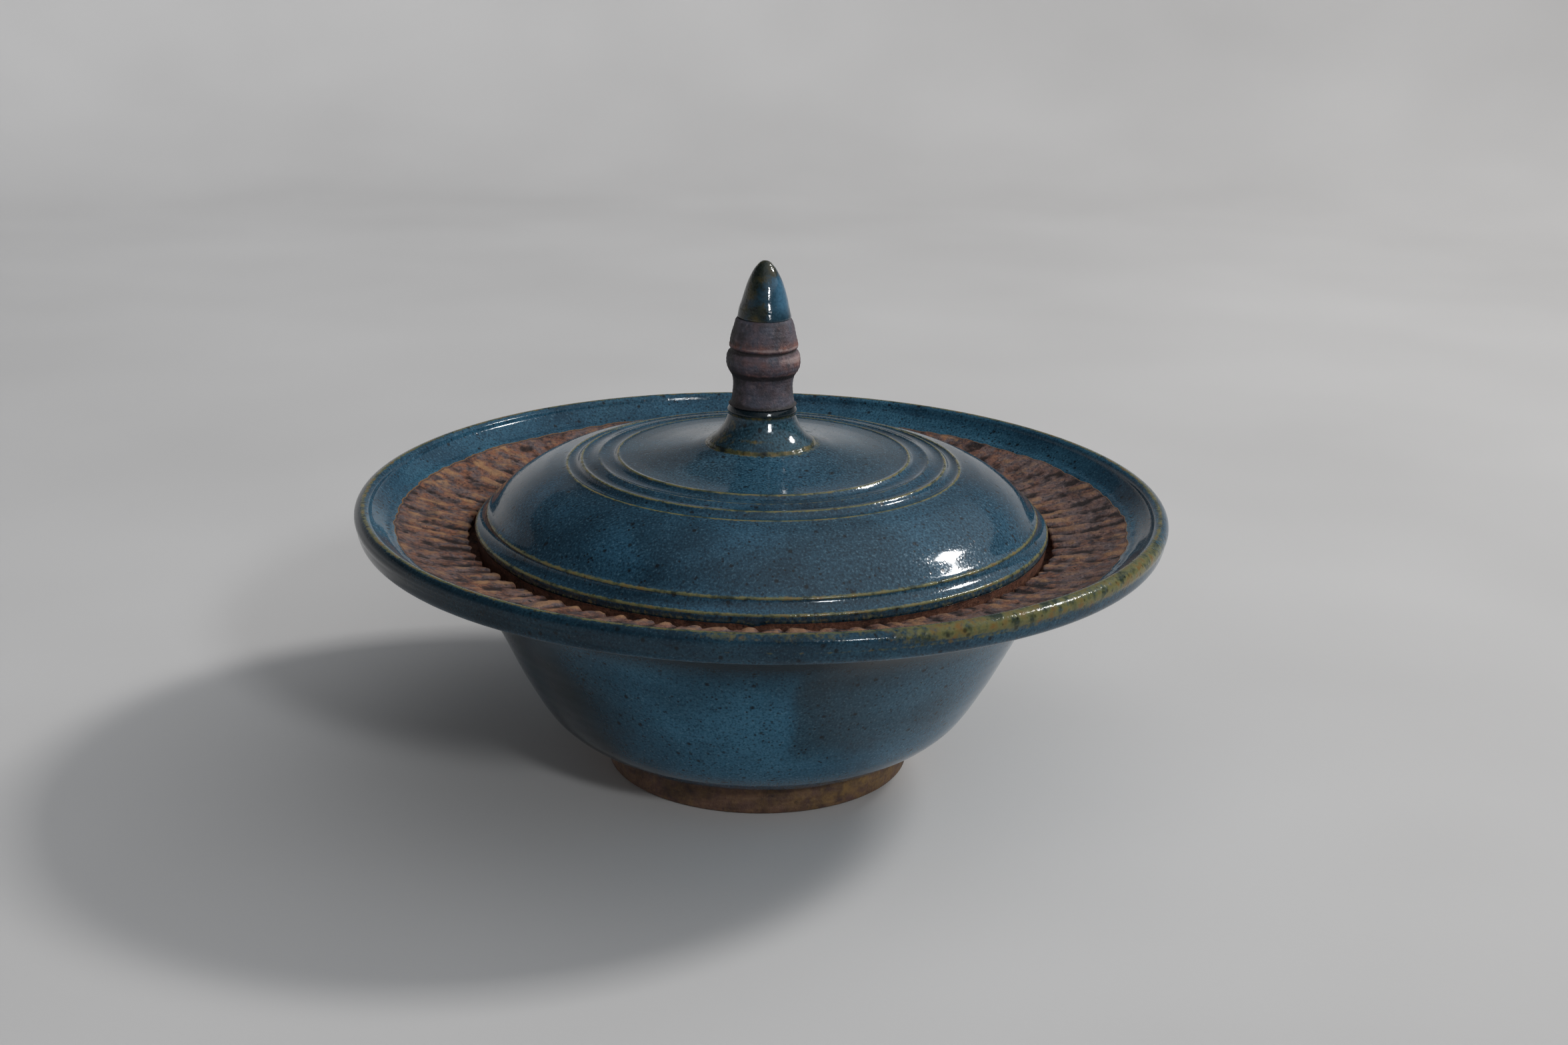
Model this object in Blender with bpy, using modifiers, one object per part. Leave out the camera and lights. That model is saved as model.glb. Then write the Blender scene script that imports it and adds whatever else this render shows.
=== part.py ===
"""A wheel-thrown stoneware bowl for keeping yarn, with a lid that drops into a seat inside its wide brim.

Metres, +Z up, origin at the centre of the foot's bottom. Every piece is turned about the Z axis: an
outline of (radius, height) points in millimetres, both from the origin, is spun by a Screw modifier. Each
outline starts at the top and runs outwards and down its outer side.
"""

import math

import bpy

MM = 0.001

# Driving dimensions, in millimetres. Heights are from the table.
GAP = 0.3  # between two pieces of clay that touch
BRIM_RADIUS = 140.4  # the lip's widest point
LIP_ROLL = 3.0  # radius of the rolled lip
LIP_HEIGHT = 95.3  # middle of the rolled lip
MOUTH_RADIUS = 102.0  # the brim's inner edge, round the lid
MOUTH_HEIGHT = 85.1
SEAT_RADIUS = 103.0  # wall of the recess that the lid drops into
SEAT_HEIGHT = 78.6  # the ledge that the lid rests on
SHOULDER_RADIUS = 112.0  # where the brim meets the bowl's wall
SHOULDER_HEIGHT = 81.0
BOWL_MOUTH_RADIUS = 91.3  # inside the ledge
FLOOR_HEIGHT = 17.5
FOOT_RADIUS = 53.7
FOOT_HEIGHT = 11.4
FOOT_WIDTH = 9.8
LID_RADIUS = 99.5
LID_RIM_HEIGHT = 89.2  # line round the top of the lid's upright edge
RIDGE_RADIUS = 95.6  # ridge where the dome begins
RIDGE_HEIGHT = 93.2
CROWN_HEIGHT = 116.9  # flat in the middle of the lid, under the collar
COLLAR_RADIUS = 18.3
COLLAR_HEIGHT = 130.9
STEM_HEIGHT = 160.6
TIP_HEIGHT = 180.1
TIP_ROUND = 2.5
STEM_PEG_RADIUS = 5.0  # peg under the stem, in the collar's socket
STEM_PEG_LENGTH = 5.7
TIP_PEG_RADIUS = 3.5  # peg under the tip, in the stem's socket
TIP_PEG_LENGTH = 4.3

WIDE_STEPS = 60  # facets round the bowl and the lid
SLIM_STEPS = 36  # facets round the finial

# name: (base colour, roughness, metallic)
CLAYS = {
    "blue_glaze": ((0.075, 0.165, 0.215), 0.12, 0.0),
    "dark_glaze": ((0.040, 0.090, 0.105), 0.10, 0.0),
    "bare_brim_clay": ((0.270, 0.155, 0.115), 0.60, 0.0),
    "bare_foot_clay": ((0.235, 0.145, 0.080), 0.55, 0.0),
    "bare_stem_clay": ((0.125, 0.095, 0.095), 0.75, 0.0),
}


def clear_scene():
    for thing in list(bpy.data.objects):
        bpy.data.objects.remove(thing, do_unlink=True)


def new_collection(name):
    collection = bpy.data.collections.new(name)
    bpy.context.scene.collection.children.link(collection)
    return collection


def clay(name):
    """The material of this name, made the first time it is asked for."""
    if name in bpy.data.materials:
        return bpy.data.materials[name]
    color, roughness, metallic = CLAYS[name]
    material = bpy.data.materials.new(name)
    material.use_nodes = True
    shader = material.node_tree.nodes["Principled BSDF"]
    shader.inputs["Base Color"].default_value = (*color, 1.0)
    shader.inputs["Roughness"].default_value = roughness
    shader.inputs["Metallic"].default_value = metallic
    material.diffuse_color = (*color, 1.0)
    return material


def arc(middle, radius, start, end, spans):
    """Points of an arc in the outline's plane. Angles are in degrees, from the outward direction."""
    angles = [math.radians(start + (end - start) * i / spans) for i in range(spans + 1)]
    return [(middle[0] + radius * math.cos(a), middle[1] + radius * math.sin(a)) for a in angles]


def smooth(points, spans):
    """A smooth run through the points (Catmull-Rom), each stretch between two of them cut into spans."""
    first = tuple(2 * a - b for a, b in zip(points[0], points[1]))
    last = tuple(2 * a - b for a, b in zip(points[-1], points[-2]))
    held = [first, *points, last]
    run = []
    for before, start, end, after in zip(held, held[1:], held[2:], held[3:]):
        for i in range(spans):
            t = i / spans
            weights = (
                -0.5 * t + t**2 - 0.5 * t**3,
                1 - 2.5 * t**2 + 1.5 * t**3,
                0.5 * t + 2 * t**2 - 1.5 * t**3,
                -0.5 * t**2 + 0.5 * t**3,
            )
            near = zip(before, start, end, after)
            run.append(tuple(sum(w * c for w, c in zip(weights, four)) for four in near))
    return [*run, points[-1]]


def ring_mark(radius, height, drop):
    """A small ridge that a throwing tool leaves round the lid, with a step down outside it."""
    return [(radius - 0.9, height - 0.4), (radius, height), (radius + 1.2, height - drop)]


def turned(name, outline, steps, material, base, parent, collection):
    """A solid of revolution. An outline that doesn't end on the axis is closed into a ring.

    base is the height of the object's own origin, which is on the axis.
    """
    points = [(radius * MM, 0.0, (height - base) * MM) for radius, height in outline]
    edges = [(i, i + 1) for i in range(len(points) - 1)]
    if outline[-1][0] > 0:
        edges.append((len(points) - 1, 0))
    mesh = bpy.data.meshes.new(name)
    mesh.from_pydata(points, edges, [])
    mesh.materials.append(clay(material))
    piece = bpy.data.objects.new(name, mesh)
    collection.objects.link(piece)
    piece.parent = parent
    piece.location.z = base * MM - (parent.location.z if parent else 0.0)

    screw = piece.modifiers.new("Turn", "SCREW")
    screw.axis = "Z"
    screw.angle = 2 * math.pi
    screw.steps = steps
    screw.render_steps = steps
    screw.use_merge_vertices = True
    screw.merge_threshold = 0.00001
    screw.use_smooth_shade = True
    return piece


def bowl_body_outline():
    inside = smooth(
        [
            (0, FLOOR_HEIGHT),
            (34, 17.9),
            (53, 19.4),
            (66, 24.0),
            (76, 35.2),
            (83, 48.4),
            (88.6, 62.0),
            (BOWL_MOUTH_RADIUS, 74.0),
        ],
        2,
    )
    seat = [
        (BOWL_MOUTH_RADIUS, SEAT_HEIGHT - 0.8),
        (BOWL_MOUTH_RADIUS + 0.8, SEAT_HEIGHT),
        (SEAT_RADIUS, SEAT_HEIGHT),
        (SEAT_RADIUS, SHOULDER_HEIGHT),
    ]
    outside = smooth(
        [
            (SHOULDER_RADIUS, SHOULDER_HEIGHT),
            (106.0, 76.0),
            (98.4, 67.0),
            (91.2, 53.0),
            (83.3, 37.2),
            (74.2, 22.8),
            (63.5, 14.3),
            (FOOT_RADIUS + 0.8, FOOT_HEIGHT + GAP),
        ],
        2,
    )
    return [*inside, *seat, *outside, (0, FOOT_HEIGHT + GAP)]


def foot_ring_outline():
    inner = FOOT_RADIUS - FOOT_WIDTH
    outside = [(FOOT_RADIUS - 0.2, FOOT_HEIGHT), (FOOT_RADIUS, 5.0)]
    tread_edge = arc((FOOT_RADIUS - 1.9, 1.6), 1.6, 0, -90, 3)
    recess = [(inner + 3.0, 0), (inner + 1.2, 1.0), (inner + 0.6, 3.0), (inner, FOOT_HEIGHT)]
    return [*outside, *tread_edge, *recess]


def brim_outline():
    roll_middle = (BRIM_RADIUS - LIP_ROLL, LIP_HEIGHT)
    lip = arc(roll_middle, LIP_ROLL, 140, -30, 7)
    edge = [(139.8, 92.5), (139.2, 90.4), (138.2, 89.0), (136.6, 88.2)]
    bottom = SHOULDER_HEIGHT + GAP
    underside = smooth([(134, 87.3), (126, 84.2), (118, 82.2), (SHOULDER_RADIUS, bottom)], 1)
    mouth = [
        (SEAT_RADIUS, bottom),
        (MOUTH_RADIUS + 0.3, bottom + 1.2),
        (MOUTH_RADIUS, MOUTH_HEIGHT - 0.5),
        (MOUTH_RADIUS + 0.5, MOUTH_HEIGHT),
    ]
    dish = smooth([(110, 86.4), (119, 88.4), (127, 90.8), (131, 93.0), (134.6, 95.8)], 1)
    return [*lip, *edge, *underside, *mouth, *dish]


def lid_dome_outline():
    crown = [
        (0, CROWN_HEIGHT),
        (COLLAR_RADIUS, CROWN_HEIGHT),
        (21, 116.4),
        (27, 115.0),
        (37, 113.5),
        (47, 112.7),
    ]
    rings = [
        *ring_mark(50.5, 113.0, 1.1),
        (57.0, 111.8),
        *ring_mark(63.0, 111.3, 1.3),
        *ring_mark(68.0, 109.7, 0.4),
    ]
    dome = smooth([(72, 108.6), (76, 107.3), (82.5, 104.2), (89, 99.8), (94, 94.6)], 1)
    rim = [
        (RIDGE_RADIUS, RIDGE_HEIGHT),
        (96.9, 91.2),
        (LID_RADIUS - 0.2, LID_RIM_HEIGHT),
        (LID_RADIUS, LID_RIM_HEIGHT - 0.8),
        (LID_RADIUS - 0.3, 84.5),
        (LID_RADIUS - 0.9, SEAT_HEIGHT + 1.2),
        (LID_RADIUS - 1.9, SEAT_HEIGHT + GAP),
        (94.2, SEAT_HEIGHT + GAP),
        (93.2, SEAT_HEIGHT + 1.4),
    ]
    underside = smooth([(91.6, 88.0), (84.4, 96.2), (74, 102.2), (60, 105.8), (34, 108.2), (0, 110.2)], 1)
    return [*crown, *rings, *dome, *rim, *underside]


def finial_collar_outline():
    socket_radius = STEM_PEG_RADIUS + GAP
    socket_floor = COLLAR_HEIGHT - STEM_PEG_LENGTH - GAP
    socket = [(0, socket_floor), (socket_radius, socket_floor), (socket_radius, COLLAR_HEIGHT)]
    top_roll = [(10.8, COLLAR_HEIGHT), (11.4, COLLAR_HEIGHT - 0.5), (11.55, COLLAR_HEIGHT - 1.6)]
    flare = smooth(
        [(11.6, 127.9), (12.2, 125.4), (13.5, 122.6), (15.6, 120.0), (COLLAR_RADIUS - 0.3, 118.0)],
        1,
    )
    foot = [(COLLAR_RADIUS, 117.6), (COLLAR_RADIUS - 0.1, CROWN_HEIGHT + GAP), (0, CROWN_HEIGHT + GAP)]
    return [*socket, *top_roll, *flare, *foot]


def finial_stem_outline():
    socket_radius = TIP_PEG_RADIUS + GAP
    socket_floor = STEM_HEIGHT - TIP_PEG_LENGTH - GAP
    socket = [(0, socket_floor), (socket_radius, socket_floor), (socket_radius, STEM_HEIGHT)]
    bulb = smooth([(9.2, STEM_HEIGHT), (9.8, 160.0), (10.9, 155.8), (11.8, 151.8), (11.4, 150.0)], 1)
    bead = smooth([(12.3, 148.2), (12.75, 145.9), (12.3, 143.6), (10.7, 140.9)], 2)
    waist = smooth([(10.35, 138.3), (10.5, 134.6), (10.9, COLLAR_HEIGHT + GAP)], 1)
    peg_bottom = COLLAR_HEIGHT + GAP - STEM_PEG_LENGTH
    peg = [(STEM_PEG_RADIUS, COLLAR_HEIGHT + GAP), (STEM_PEG_RADIUS, peg_bottom), (0, peg_bottom)]
    return [*socket, *bulb, *bead, *waist, *peg]


def finial_tip_outline():
    nose = arc((0, TIP_HEIGHT - TIP_ROUND), TIP_ROUND, 90, 22, 3)
    cone = smooth([(3.3, 177.2), (5.2, 173.2), (7.0, 168.4), (8.3, 163.6), (8.9, STEM_HEIGHT + GAP)], 1)
    peg_bottom = STEM_HEIGHT + GAP - TIP_PEG_LENGTH
    peg = [(TIP_PEG_RADIUS, STEM_HEIGHT + GAP), (TIP_PEG_RADIUS, peg_bottom), (0, peg_bottom)]
    return [(0, TIP_HEIGHT), *nose[1:], *cone, *peg]


def main():
    clear_scene()
    parts = new_collection("yarn_bowl")

    # The lid lifts straight up off its seat, along this empty's Z axis.
    lid_axis = bpy.data.objects.new("lid_axis", None)
    lid_axis.location.z = (SEAT_HEIGHT + GAP) * MM
    lid_axis.empty_display_size = 0.03
    parts.objects.link(lid_axis)

    # node, outline, facets round it, clay, height of its origin, what it moves with
    pieces = [
        ("bowl_body", bowl_body_outline(), WIDE_STEPS, "blue_glaze", FOOT_HEIGHT + GAP, None),
        ("foot_ring", foot_ring_outline(), WIDE_STEPS, "bare_foot_clay", 0.0, None),
        ("brim", brim_outline(), WIDE_STEPS, "bare_brim_clay", SHOULDER_HEIGHT + GAP, None),
        ("lid_dome", lid_dome_outline(), WIDE_STEPS, "blue_glaze", SEAT_HEIGHT + GAP, lid_axis),
        ("finial_collar", finial_collar_outline(), SLIM_STEPS, "blue_glaze", CROWN_HEIGHT + GAP, lid_axis),
        ("finial_stem", finial_stem_outline(), SLIM_STEPS, "bare_stem_clay", COLLAR_HEIGHT + GAP, lid_axis),
        ("finial_tip", finial_tip_outline(), SLIM_STEPS, "dark_glaze", STEM_HEIGHT + GAP, lid_axis),
    ]
    for name, outline, steps, material, base, parent in pieces:
        turned(name, outline, steps, material, base, parent, parts)


main()
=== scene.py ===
"""Looks of the lidded yarn bowl: glazed and bare stoneware, a plain studio and the camera.

Every piece is turned about the Z axis from an outline of (radius, height) points in millimetres. The outline
is cut into fine rows and spun into a grid, and the grid is then pushed a little in and out: throwing rings,
tool marks, a chipped edge, a thick line where the glaze ends. Each point of a grid also carries marks. These
are numbers from 0 to 1 that tell the material where the glaze is thin or thick, where the clay is bare, and
where shade and light are painted into the colour.

Angles round the bowl are turns from +X towards +Y: 0 is the right side, 0.25 the back, 0.5 the left and 0.75
the front. Heights are from a level 2 mm above the table (LEVEL), and Grid.build adds it.
"""

import math

import bpy
import numpy as np
from mathutils import Matrix, Vector


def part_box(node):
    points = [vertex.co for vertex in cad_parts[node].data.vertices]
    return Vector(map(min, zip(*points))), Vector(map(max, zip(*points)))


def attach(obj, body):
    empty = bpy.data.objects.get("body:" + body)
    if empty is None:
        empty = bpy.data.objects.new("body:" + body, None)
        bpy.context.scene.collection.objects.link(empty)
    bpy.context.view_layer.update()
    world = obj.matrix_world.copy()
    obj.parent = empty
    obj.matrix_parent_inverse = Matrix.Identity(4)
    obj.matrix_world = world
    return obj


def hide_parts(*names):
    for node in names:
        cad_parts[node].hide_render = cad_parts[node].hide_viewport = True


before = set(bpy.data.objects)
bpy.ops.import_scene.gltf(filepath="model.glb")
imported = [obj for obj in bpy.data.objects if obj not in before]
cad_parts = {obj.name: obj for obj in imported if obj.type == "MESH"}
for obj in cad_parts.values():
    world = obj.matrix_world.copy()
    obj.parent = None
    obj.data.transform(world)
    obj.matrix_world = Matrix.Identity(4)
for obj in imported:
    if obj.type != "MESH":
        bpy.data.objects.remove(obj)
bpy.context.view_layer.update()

MM = 0.001  # metres
LEVEL = 2.0


def top_of(node):
    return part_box(node)[1].z / MM - LEVEL


def radius_of(node):
    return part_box(node)[1].x / MM


# Driving dimensions in millimetres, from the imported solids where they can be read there.
BRIM_RADIUS = radius_of("brim")
LIP_ROLL = 3.0
LIP_HEIGHT = top_of("brim") - LIP_ROLL
MOUTH_RADIUS = 102.0
MOUTH_HEIGHT = 83.1
BAND_RADIUS = 127.0  # where the bare band ends and the glazed lip begins
SHOULDER_RADIUS = radius_of("bowl_body")
SHOULDER_HEIGHT = top_of("bowl_body")
SEAT_RADIUS = 103.0
SEAT_HEIGHT = 76.6
FOOT_RADIUS = radius_of("foot_ring")
FOOT_HEIGHT = top_of("foot_ring")
LID_RADIUS = radius_of("lid_dome")
CROWN_HEIGHT = top_of("lid_dome")
COLLAR_RADIUS = radius_of("finial_collar")
COLLAR_HEIGHT = top_of("finial_collar")
STEM_HEIGHT = top_of("finial_stem")
TIP_HEIGHT = top_of("finial_tip")
TIP_ROUND = 3.2
TABLE = 0.05 - LEVEL  # the foot's tread, a hair above the table

FRONT = 0.75  # turns
TEETH = 80  # tool marks round the band
LID_RINGS = ((50.5, 1.0), (57.0, 0.45), (63.0, 1.0), (68.0, 0.95))  # radius and how olive the glaze breaks

# Columns round each piece: fine enough for its marks, and under 200,000 triangles a piece.
COLUMNS = {"brim": 864, "bowl": 500, "foot": 600, "lid": 440, "collar": 300, "stem": 300, "tip": 240}

# The marks that the materials read, with the value that each has where a piece doesn't set it.
MARKS = {
    "olive": 0.0,  # glaze so thin that it breaks olive
    "bare": 0.0,  # clay with no glaze
    "cut": 0.5,  # the clay's relief as painted light: painted shade at 0, a painted highlight at 1
    "warm": 0.0,  # rusty clay
    "fringe": 0.0,  # a rusty and golden line where the glaze ends
    "milky": 0.0,  # glaze with more pale and dark grains
    "bright": 0.0,  # paler glaze, and painted light on the lit side of the lid, the collar and the tip
    "pooled_glaze_and_shade": 0.0,  # thick glaze, and painted shade: both nearly black
}


# --- outlines and grids -------------------------------------------------------------------------------------


def arc(middle, radius, start, end, spans=8):
    """Points of an arc in the outline's plane. Angles are in degrees, from the outward direction."""
    angles = [math.radians(start + (end - start) * i / spans) for i in range(spans + 1)]
    return [(middle[0] + radius * math.cos(a), middle[1] + radius * math.sin(a)) for a in angles]


def run(points, step):
    """A smooth run through the points (Catmull-Rom), cut into even steps of about this many millimetres."""
    p = np.array(points, float)
    held = np.vstack([2 * p[0] - p[1], p, 2 * p[-1] - p[-2]])
    t = np.linspace(0, 1, 24, endpoint=False)[:, None]
    weights = (
        -0.5 * t + t**2 - 0.5 * t**3,
        1 - 2.5 * t**2 + 1.5 * t**3,
        0.5 * t + 2 * t**2 - 1.5 * t**3,
        -0.5 * t**2 + 0.5 * t**3,
    )
    spans = [sum(w * held[i + k] for k, w in enumerate(weights)) for i in range(len(p) - 1)]
    fine = np.vstack([*spans, p[-1:]])
    fine[:, 0] = np.maximum(fine[:, 0], 0)
    length = np.concatenate([[0], np.cumsum(np.hypot(*np.diff(fine, axis=0).T))])
    even = np.linspace(0, length[-1], max(2, round(length[-1] / step) + 1))
    return np.column_stack([np.interp(even, length, fine[:, k]) for k in (0, 1)])


class Grid:
    """Rows of an outline spun into columns, as 2D arrays: r, z and s (length along it) in mm, u in turns."""

    TOUCHING = 1e-6  # ends nearer than this are one point

    def __init__(self, legs, columns, closed=False):
        """legs are (points, step) pairs, each from where the last one ends."""
        runs = [run(points, step) for points, step in legs]
        points = [runs[0]]
        for each in runs[1:]:
            gap = np.hypot(*(each[0] - points[-1][-1]))
            points.append(each[1:] if gap < self.TOUCHING else each)
        line = np.vstack(points)
        if closed and np.hypot(*(line[0] - line[-1])) < self.TOUCHING:
            line = line[:-1]
        ahead, behind = np.roll(line, -1, 0), np.roll(line, 1, 0)
        if not closed:
            ahead[-1], behind[0] = line[-1], line[0]
        way = ahead - behind
        way /= np.maximum(np.hypot(*way.T), 1e-9)[:, None]
        length = np.concatenate([[0], np.cumsum(np.hypot(*np.diff(line, axis=0).T))])
        turns = np.arange(columns) / columns
        shape = (len(line), columns)
        self.closed = closed
        self.r = np.broadcast_to(line[:, :1], shape).copy()
        self.z = np.broadcast_to(line[:, 1:], shape).copy()
        self.s = np.broadcast_to(length[:, None], shape)
        self.u = np.broadcast_to(turns[None, :], shape)
        self.out = np.broadcast_to(-way[:, 1:], shape), np.broadcast_to(way[:, :1], shape)
        self.shift = (0.0, 0.0)  # how far the piece stands off the axis
        self.marks = {}

    def push(self, height):
        """Moves the surface out by this many millimetres."""
        self.r = self.r + self.out[0] * height
        self.z = self.z + self.out[1] * height

    def mark(self, name, value):
        self.marks[name] = np.broadcast_to(value, self.r.shape).astype(np.float32)

    def build(self, name):
        rows, columns = self.r.shape
        angle = 2 * math.pi * self.u
        x, y = self.r * np.cos(angle) + self.shift[0], self.r * np.sin(angle) + self.shift[1]
        at = np.stack([x, y, self.z + LEVEL], -1)
        corner = np.arange(rows * columns).reshape(rows, columns)
        here = corner if self.closed else corner[:-1]
        there = np.roll(corner, -1, 0) if self.closed else corner[1:]
        quads = np.stack([here, there, np.roll(there, -1, 1), np.roll(here, -1, 1)], -1).reshape(-1, 4)
        keep = np.arange(rows * columns)
        faces = quads.tolist()
        if not self.closed:
            # The first and the last row lie on the axis and are one point each.
            for row in (0, rows - 1):
                at[row] = at[row].mean(0)
                keep[corner[row]] = corner[row, 0]
            faces = [list(dict.fromkeys(keep[q].tolist())) for q in quads]
        used, fresh = np.unique(keep, return_inverse=True)
        points = at.reshape(-1, 3)[used] * MM
        mesh = bpy.data.meshes.new(name)
        mesh.from_pydata(points.tolist(), [], [[int(fresh[c]) for c in f] for f in faces])
        mesh.shade_smooth()
        for label, value in self.marks.items():
            layer = mesh.attributes.new(label, "FLOAT", "POINT")
            layer.data.foreach_set("value", value.reshape(-1)[used])
        piece = bpy.data.objects.new(name, mesh)
        bpy.context.scene.collection.objects.link(piece)
        return piece


def field(u, v, cells, size, seed, octaves=1):
    """Smooth random values from about -1 to 1: so many cells round the turns u, and one each size along v."""
    total, weight = 0.0, 1.0
    for octave in range(octaves):
        table = np.random.default_rng(seed + 17 * octave)
        x, y = (u % 1.0) * cells, v / size
        y = y - np.floor(y.min())
        x0, y0 = np.floor(x).astype(int), np.floor(y).astype(int)
        fx, fy = x - x0, y - y0
        fx, fy = fx * fx * (3 - 2 * fx), fy * fy * (3 - 2 * fy)
        values = table.uniform(-1, 1, (cells, int(y0.max()) + 2))
        a, b = values[x0 % cells, y0], values[(x0 + 1) % cells, y0]
        c, d = values[x0 % cells, y0 + 1], values[(x0 + 1) % cells, y0 + 1]
        total = total + weight * ((a * (1 - fx) + b * fx) * (1 - fy) + (c * (1 - fx) + d * fx) * fy)
        cells, size, weight = cells * 2, size / 2, weight / 2
    return total


def ripple(u, cells, seed, octaves=1):
    """Smooth random values from about -1 to 1 that only change round the piece."""
    return field(u, 0 * u, cells, 1.0, seed, octaves)


def rise(value, low, high):
    """0 below low, 1 above high, smooth between."""
    t = np.clip((value - low) / (high - low), 0, 1)
    return t * t * (3 - 2 * t)


def span(value, start, full, fall, end):
    """1 from full to fall, 0 before start and after end, smooth between."""
    return rise(value, start, full) * (1 - rise(value, fall, end))


def line_at(value, middle, width):
    """1 on a line at the middle value, falling off smoothly over this width."""
    return np.exp(-(((value - middle) / width) ** 2))


def towards(u, middle, half):
    """1 at the middle angle, falling to 0 at half a width away, in turns."""
    away = np.abs((u - middle + 0.5) % 1.0 - 0.5)
    return 1 - rise(away, 0, half)


# --- materials ----------------------------------------------------------------------------------------------


def srgb(red, green, blue):
    """A linear colour from the usual 0 to 255 values."""
    def one(value):
        value /= 255
        return value / 12.92 if value <= 0.04045 else ((value + 0.055) / 1.055) ** 2.4
    return (one(red), one(green), one(blue), 1.0)


class Paint:
    """A short way to lay out a node material. Sizes are in millimetres."""

    def __init__(self, name):
        self.material = bpy.data.materials.new(name)
        self.material.use_nodes = True
        self.tree = self.material.node_tree
        self.shader = self.tree.nodes["Principled BSDF"]
        place = self.tree.nodes.new("ShaderNodeTexCoord")
        scaled = self.tree.nodes.new("ShaderNodeVectorMath")
        scaled.operation = "SCALE"
        scaled.inputs["Scale"].default_value = 1 / MM
        self.tree.links.new(place.outputs["Object"], scaled.inputs[0])
        self.mm = scaled.outputs[0]

    def put(self, socket, value):
        if isinstance(value, bpy.types.NodeSocket):
            self.tree.links.new(value, socket)
        else:
            socket.default_value = value

    def math(self, how, a, b=0.0, c=0.0):
        node = self.tree.nodes.new("ShaderNodeMath")
        node.operation = how
        for socket, value in zip(node.inputs, (a, b, c)):
            self.put(socket, value)
        return node.outputs[0]

    def times(self, a, b, plus=0.0):
        return self.math("MULTIPLY_ADD", a, b, plus)

    def most(self, a, b):
        return self.math("MAXIMUM", a, b)

    def mark(self, name):
        node = self.tree.nodes.new("ShaderNodeAttribute")
        node.attribute_name = name
        return node.outputs["Fac"]

    def texture(self, kind, size, offset):
        """A texture node with one cell each size."""
        mapping = self.tree.nodes.new("ShaderNodeMapping")
        self.put(mapping.inputs["Vector"], self.mm)
        mapping.inputs["Scale"].default_value = (1 / size,) * 3
        mapping.inputs["Location"].default_value = offset
        node = self.tree.nodes.new(kind)
        self.put(node.inputs["Vector"], mapping.outputs[0])
        node.inputs["Scale"].default_value = 1.0
        return node

    def noise(self, size, detail=2.0, rough=0.5, bend=0.0, offset=(0, 0, 0)):
        """Soft noise with features of about this size."""
        node = self.texture("ShaderNodeTexNoise", size, offset)
        node.inputs["Detail"].default_value = detail
        node.inputs["Roughness"].default_value = rough
        node.inputs["Distortion"].default_value = bend
        return node.outputs["Fac"]

    def spots(self, spacing, radius, offset):
        """1 inside small round spots that lie about this far apart, 0 outside."""
        node = self.texture("ShaderNodeTexVoronoi", spacing, offset)
        edge, soft = radius / spacing, 0.35
        return self.ramp(node.outputs["Distance"], [(edge * (1 - soft), 1.0), (edge * (1 + soft), 0.0)])

    def ramp(self, value, stops):
        """The stops are (place, grey value or colour) pairs."""
        node = self.tree.nodes.new("ShaderNodeValToRGB")
        self.put(node.inputs["Fac"], value)
        elements = node.color_ramp.elements
        while len(elements) < len(stops):
            elements.new(0.5)
        for element, (place, color) in zip(elements, stops):
            element.position = min(max(place, 0.0), 1.0)
            element.color = color if isinstance(color, tuple) else (color, color, color, 1.0)
        return node.outputs["Color"]

    def between(self, factor, a, b):
        node = self.tree.nodes.new("ShaderNodeMix")
        node.data_type = "RGBA"
        self.put(node.inputs["Factor"], factor)
        for socket, value in zip(node.inputs[6:8], (a, b)):  # the colour sockets A and B
            self.put(socket, value)
        return node.outputs[2]

    def bump(self, height, distance, under=None, strength=1.0):
        node = self.tree.nodes.new("ShaderNodeBump")
        node.inputs["Distance"].default_value = distance * MM
        node.inputs["Strength"].default_value = strength
        self.put(node.inputs["Height"], height)
        if under is not None:
            self.put(node.inputs["Normal"], under)
        return node.outputs[0]

    def finish(self, color, roughness, normal):
        self.put(self.shader.inputs["Base Color"], color)
        self.put(self.shader.inputs["Roughness"], roughness)
        self.put(self.shader.inputs["Normal"], normal)
        return self.material


MILK = srgb(92, 128, 146)
GREY_GLAZE = srgb(58, 86, 99)
IRON = srgb(9, 13, 17)
POOLED_AND_SHADE = srgb(11, 22, 27)
CLAY_SHADE = srgb(26, 20, 20)
GOLD = srgb(166, 122, 70)

# Glazes: deep, middle and pale.
BLUE = (srgb(16, 38, 52), srgb(33, 65, 83), srgb(48, 90, 114))
BRIM_BLUE = (srgb(18, 44, 60), srgb(38, 76, 97), srgb(56, 102, 124))
WALL_BLUE = (srgb(25, 60, 80), srgb(50, 97, 122), srgb(68, 118, 144))
COLLAR_BLUE = (srgb(13, 28, 35), srgb(28, 54, 68), srgb(52, 86, 100))
TIP_BLUE = (srgb(10, 22, 28), srgb(24, 50, 62), srgb(66, 108, 134))

# The same glazes where they are thin: dark olive, olive and amber.
THIN = (srgb(44, 52, 34), srgb(106, 104, 62), srgb(118, 88, 36))
LID_THIN = (srgb(52, 58, 38), srgb(116, 114, 72), srgb(126, 104, 54))
COLLAR_THIN = (srgb(20, 23, 16), srgb(76, 75, 44), srgb(110, 92, 50))
TIP_THIN = (srgb(20, 24, 18), srgb(36, 40, 27), srgb(66, 58, 30))

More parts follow.
